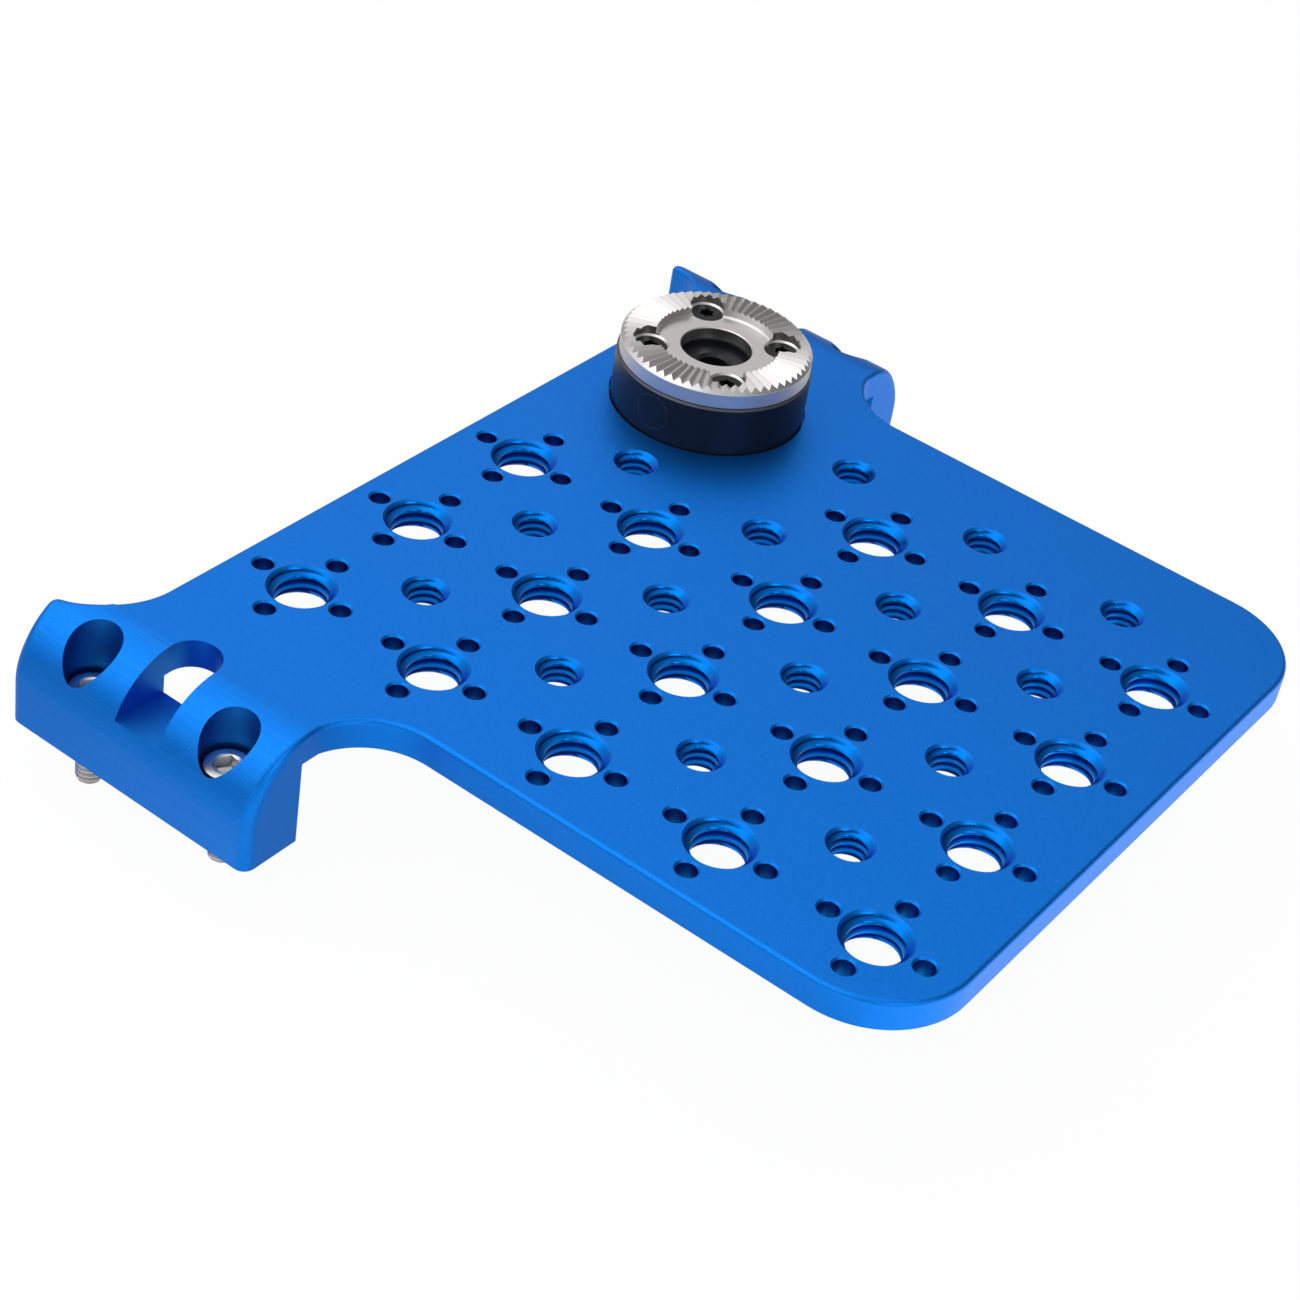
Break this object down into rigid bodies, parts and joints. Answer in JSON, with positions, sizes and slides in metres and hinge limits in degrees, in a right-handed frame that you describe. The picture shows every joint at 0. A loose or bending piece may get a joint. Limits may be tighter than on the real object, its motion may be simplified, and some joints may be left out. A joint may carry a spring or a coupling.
{
  "type": "camera side plate",
  "caption": "Flat blue mounting plate on two end feet, with a grid of threaded holes and locating pin holes, and a round toothed rosette on a black spacer.",
  "frame": {"origin": "midway between the four mounting screws, on the plane that the two feet stand on", "axes": "+Y from one foot to the other, the longest extent; +Z out of the plate's top face, the shortest extent; +X from the feet's end of the plate towards its far side edge"},
  "size_m": [0.1376, 0.163, 0.0383],
  "materials": {
    "blue_metal": "satin anodised",
    "black_metal": "satin anodised",
    "ring_steel": "machined",
    "screw_steel": "plain",
    "black_steel": "black oxide"
  },
  "bodies": {
    "plate": {"side_plate": "blue_metal", "rosette_spacer": "black_metal", "rosette_ring": "ring_steel", "rosette_screw_1": "black_steel", "rosette_screw_2": "black_steel", "rosette_screw_3": "black_steel", "rosette_screw_4": "black_steel"},
    "foot_screw_1": {"foot_screw_1": "screw_steel"},
    "foot_screw_2": {"foot_screw_2": "screw_steel"},
    "foot_screw_3": {"foot_screw_3": "screw_steel"},
    "foot_screw_4": {"foot_screw_4": "screw_steel"}
  },
  "joints": [
    {"name": "foot_screw_1_turn", "type": "hinge", "parent": "plate", "child": "foot_screw_1", "pos_m": [-0.01317, -0.07632, 0], "axis": [0, 0, 1], "continuous": true},
    {"name": "foot_screw_2_turn", "type": "hinge", "parent": "plate", "child": "foot_screw_2", "pos_m": [0.01317, -0.07632, 0], "axis": [0, 0, 1], "continuous": true},
    {"name": "foot_screw_3_turn", "type": "hinge", "parent": "plate", "child": "foot_screw_3", "pos_m": [-0.01317, 0.07632, 0], "axis": [0, 0, 1], "continuous": true},
    {"name": "foot_screw_4_turn", "type": "hinge", "parent": "plate", "child": "foot_screw_4", "pos_m": [0.01317, 0.07632, 0], "axis": [0, 0, 1], "continuous": true}
  ]
}
